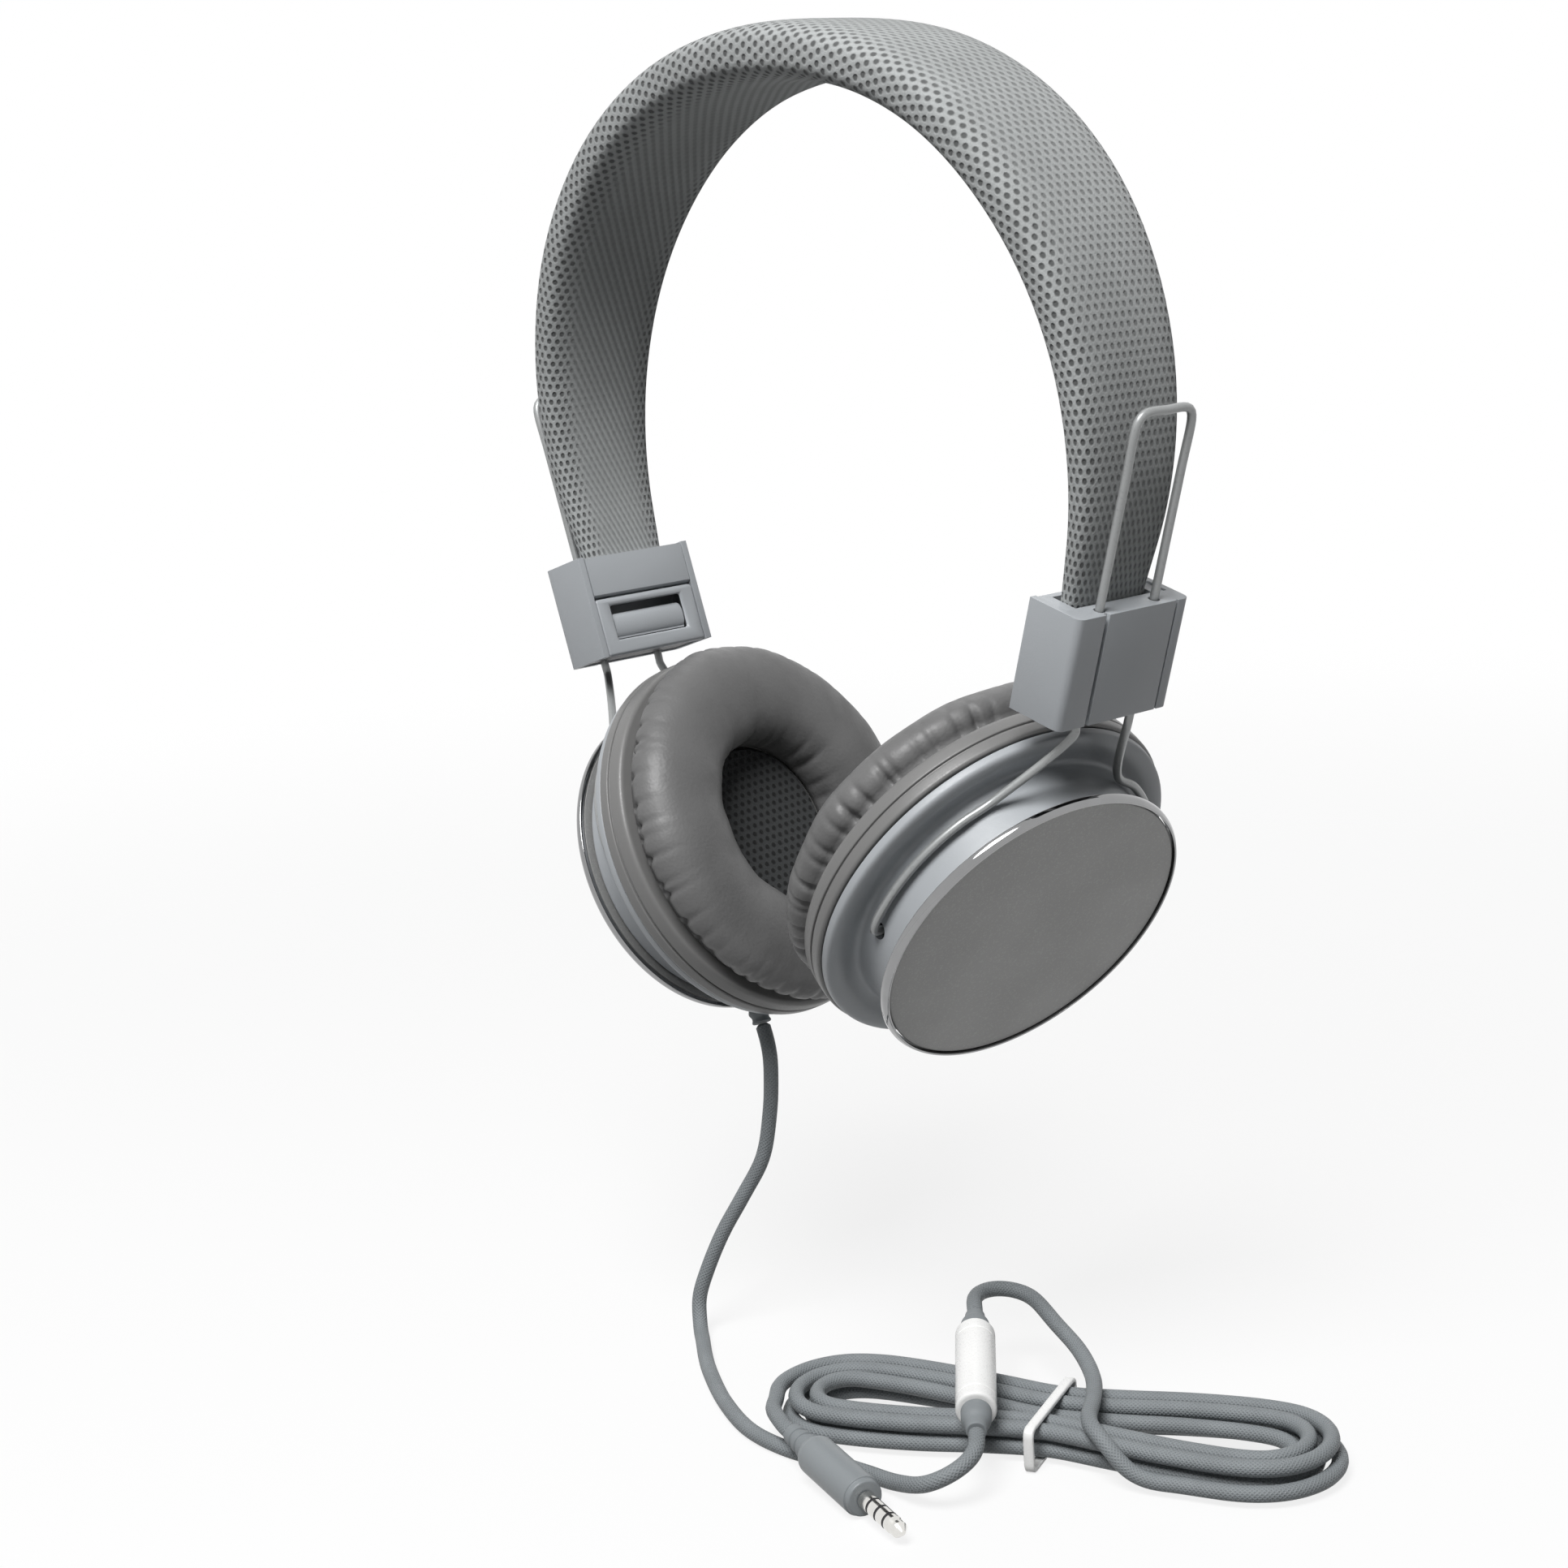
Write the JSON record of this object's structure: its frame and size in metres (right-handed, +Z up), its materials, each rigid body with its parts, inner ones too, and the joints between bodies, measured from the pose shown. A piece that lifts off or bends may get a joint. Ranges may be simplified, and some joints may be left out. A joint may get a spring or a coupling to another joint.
{
  "type": "headset",
  "caption": "Folding on-ear headset with a sprung padded band, wire-hung cups and ring cushions, a wound lead with an inline microphone and a jack plug.",
  "frame": {"origin": "underside of the headband's crown, where a head carries it", "axes": "+Z up, +X to the wearer's right cup, -Y to the front"},
  "size_m": [0.198, 0.1024, 0.2734],
  "materials": {
    "band_fabric": "coarse open mesh with staggered oval holes",
    "leatherette": "soft satin leatherette",
    "grey_plastic": "satin moulded",
    "dark_plastic": "satin moulded",
    "satin_grey": "fine satin",
    "chrome": "mirror plated",
    "steel": "bright",
    "plug_metal": "plated",
    "wire_paint": "satin coated wire",
    "cord_grey": "satin jacket",
    "white_plastic": "smooth",
    "ear_cloth": "dark open mesh"
  },
  "bodies": {
    "headband": {"band_cover_left": "band_fabric", "band_spring_left": "steel", "band_end_left": "grey_plastic", "hinge_pin_left": "steel", "lead_drop": "cord_grey", "lead_run": "cord_grey", "mic_relief_near": "cord_grey", "mic_capsule": "white_plastic", "mic_relief_far": "cord_grey", "lead_mic_far": "cord_grey", "lead_hank": "cord_grey", "hank_tie": "white_plastic", "lead_tail": "cord_grey", "plug_relief": "cord_grey", "plug_barrel": "grey_plastic", "plug_shaft": "plug_metal"},
    "crown_left": {"band_cover_crown_left": "band_fabric", "band_spring_crown_left": "steel"},
    "crown_right": {"band_cover_crown_right": "band_fabric", "band_spring_crown_right": "steel"},
    "limb_right": {"band_cover_right": "band_fabric", "band_spring_right": "steel", "band_end_right": "grey_plastic", "hinge_pin_right": "steel"},
    "housing_right": {"fold_housing_right": "grey_plastic", "hinge_plate_right": "grey_plastic", "click_plate_right": "grey_plastic", "wire_guide_right": "dark_plastic"},
    "yoke_right": {"wire_yoke_right": "wire_paint"},
    "cup_right": {"cup_shell_right": "grey_plastic", "cap_face_right": "satin_grey", "trim_ring_right": "chrome", "baffle_ring_right": "grey_plastic", "driver_frame_right": "dark_plastic", "driver_magnet_right": "steel", "ear_cushion_right": "leatherette", "ear_mesh_right": "ear_cloth"},
    "housing_left": {"fold_housing_left": "grey_plastic", "hinge_plate_left": "grey_plastic", "click_plate_left": "grey_plastic", "wire_guide_left": "dark_plastic"},
    "yoke_left": {"wire_yoke_left": "wire_paint"},
    "cup_left": {"cup_shell_left": "grey_plastic", "cap_face_left": "satin_grey", "trim_ring_left": "chrome", "baffle_ring_left": "grey_plastic", "driver_frame_left": "dark_plastic", "driver_magnet_left": "steel", "ear_cushion_left": "leatherette", "ear_mesh_left": "ear_cloth", "lead_relief": "cord_grey"}
  },
  "joints": [
    {"name": "fold_left", "type": "hinge", "parent": "headband", "child": "housing_left", "pos_m": [-0.06469, 0, -0.10105], "axis": [0, -1, 0], "range_deg": [0, 105]},
    {"name": "flex_left", "type": "hinge", "parent": "headband", "child": "crown_left", "pos_m": [-0.01315, 0, 0.0106], "axis": [0, -1, 0], "range_deg": [0, 15.8]},
    {"name": "spread", "type": "hinge", "parent": "crown_left", "child": "crown_right", "pos_m": [0, 0, 0.011], "axis": [0, -1, 0], "range_deg": [0, 3.31]},
    {"name": "flex_right", "type": "hinge", "parent": "crown_right", "child": "limb_right", "pos_m": [0.01315, 0, 0.0106], "axis": [0, -1, 0], "range_deg": [0, 15.8]},
    {"name": "fold_right", "type": "hinge", "parent": "limb_right", "child": "housing_right", "pos_m": [0.06469, 0, -0.10105], "axis": [0, 1, 0], "range_deg": [0, 105]},
    {"name": "slide_left", "type": "slide", "parent": "housing_left", "child": "yoke_left", "axis": [-0.2974, 0, 0.9548], "range_m": [-0.03, 0], "deforming": ["lead_drop"]},
    {"name": "slide_right", "type": "slide", "parent": "housing_right", "child": "yoke_right", "axis": [0.2974, 0, 0.9548], "range_m": [-0.03, 0]},
    {"name": "tilt_left", "type": "hinge", "parent": "yoke_left", "child": "cup_left", "pos_m": [-0.04165, 0, -0.1571], "axis": [0.1444, -0.9895, 0], "range_deg": [-1.4, 7]},
    {"name": "tilt_right", "type": "hinge", "parent": "yoke_right", "child": "cup_right", "pos_m": [0.04165, 0, -0.1571], "axis": [0.1444, 0.9895, 0], "range_deg": [-10, 1]}
  ],
  "couplings": [
    {"joint": "flex_left", "follows": "fold_left", "ratio": 0.15},
    {"joint": "flex_right", "follows": "fold_right", "ratio": 0.15},
    {"joint": "spread", "follows": "slide_left", "rad_per_m": -1.92}
  ]
}
